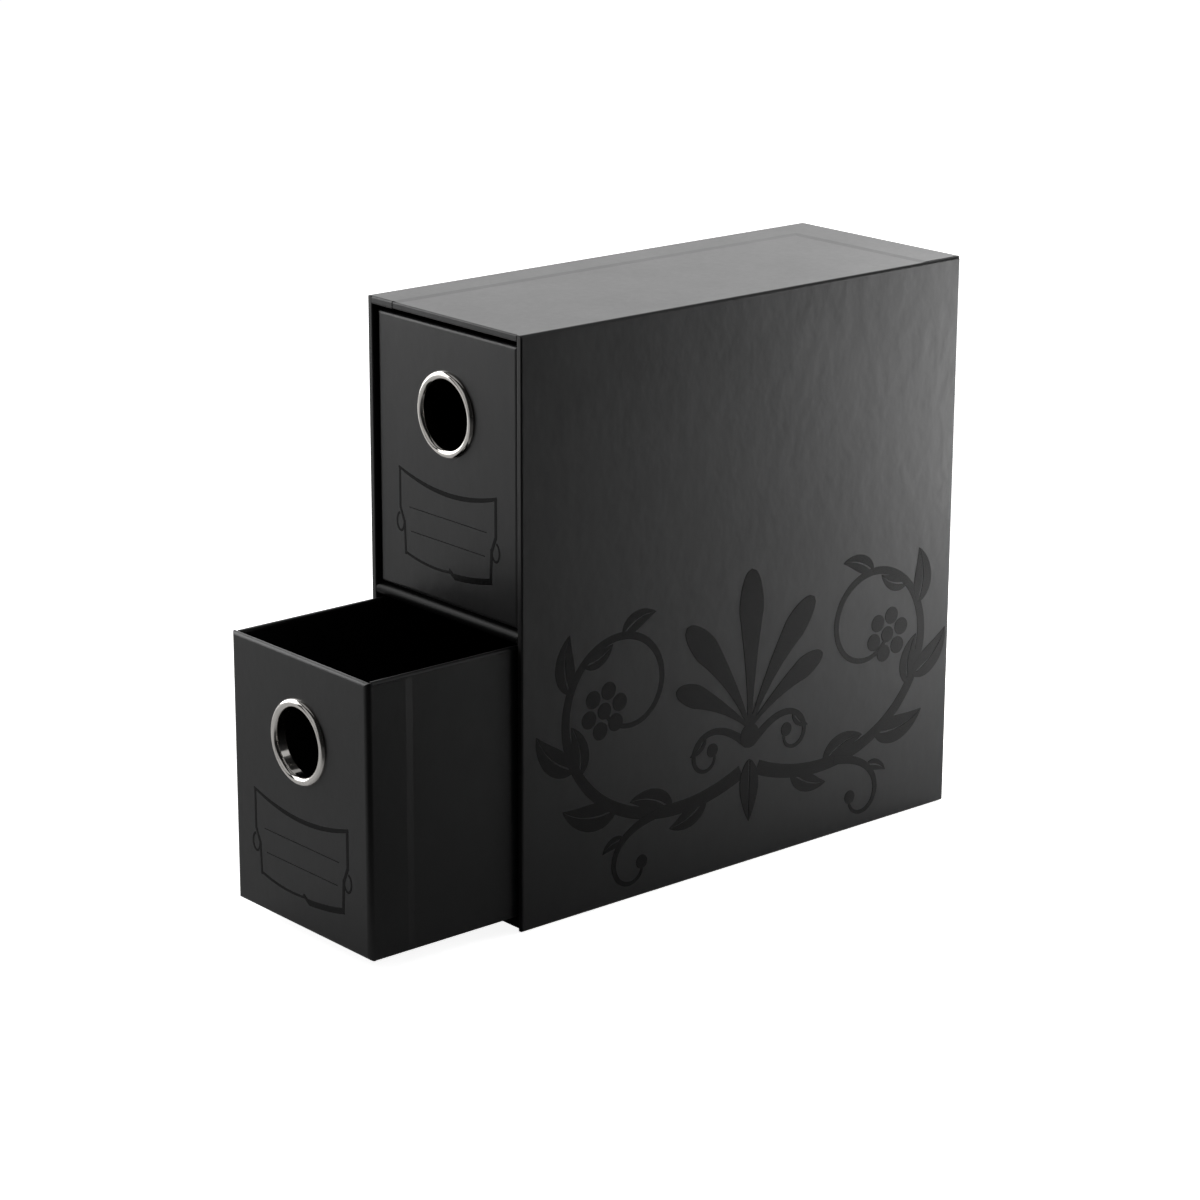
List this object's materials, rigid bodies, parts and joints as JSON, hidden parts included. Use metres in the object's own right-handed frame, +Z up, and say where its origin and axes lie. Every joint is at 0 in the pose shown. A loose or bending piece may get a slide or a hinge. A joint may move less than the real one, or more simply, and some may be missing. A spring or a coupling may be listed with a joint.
{
  "type": "card storage box",
  "caption": "Tall narrow card storage box: a paper-wrapped board sleeve holding drawers one above the other, each pulled out by a metal finger ring.",
  "frame": {"origin": "centre of the sleeve's underside, on the surface it stands on", "axes": "+X to the right-hand side seen from the front, -Y to the front where the drawers come out, +Z up"},
  "size_m": [0.084, 0.2736, 0.2122],
  "materials": {
    "sleeve_paper": "black laminated covering paper, satin",
    "drawer_paper": "black laminated covering paper, satin, light leather grain",
    "lining_paper": "black uncoated lining paper, matt",
    "board": "grey board core",
    "ring_metal": "polished nickel plate"
  },
  "bodies": {
    "sleeve": {"sleeve_left_board": "board", "sleeve_right_board": "board", "sleeve_top_board": "board", "sleeve_back_board": "board", "base_lower_board": "board", "base_upper_board": "board", "shelf_lower_board": "board", "shelf_upper_board": "board", "cover_sheet": "sleeve_paper", "back_sheet": "sleeve_paper", "base_sheet": "sleeve_paper", "bay_floor_sheet": "lining_paper", "shelf_sheet": "lining_paper", "upper_bay_lining": "lining_paper", "lower_bay_lining": "lining_paper"},
    "upper_drawer": {"upper_front_board": "board", "upper_back_board": "board", "upper_left_board": "board", "upper_right_board": "board", "upper_floor_board": "board", "upper_front_sheet": "drawer_paper", "upper_body_wrap": "drawer_paper", "upper_base_sheet": "drawer_paper", "upper_lining": "lining_paper", "upper_finger_ring": "ring_metal", "upper_ring_washer": "ring_metal"},
    "lower_drawer": {"lower_front_board": "board", "lower_back_board": "board", "lower_left_board": "board", "lower_right_board": "board", "lower_floor_board": "board", "lower_front_sheet": "drawer_paper", "lower_body_wrap": "drawer_paper", "lower_base_sheet": "drawer_paper", "lower_lining": "lining_paper", "lower_finger_ring": "ring_metal", "lower_ring_washer": "ring_metal"}
  },
  "joints": [
    {"name": "upper_drawer_slide", "type": "slide", "parent": "sleeve", "child": "upper_drawer", "axis": [0, -1, 0], "range_m": [0, 0.208]},
    {"name": "lower_drawer_slide", "type": "slide", "parent": "sleeve", "child": "lower_drawer", "axis": [0, -1, 0], "range_m": [-0.0647, 0.1433]}
  ]
}
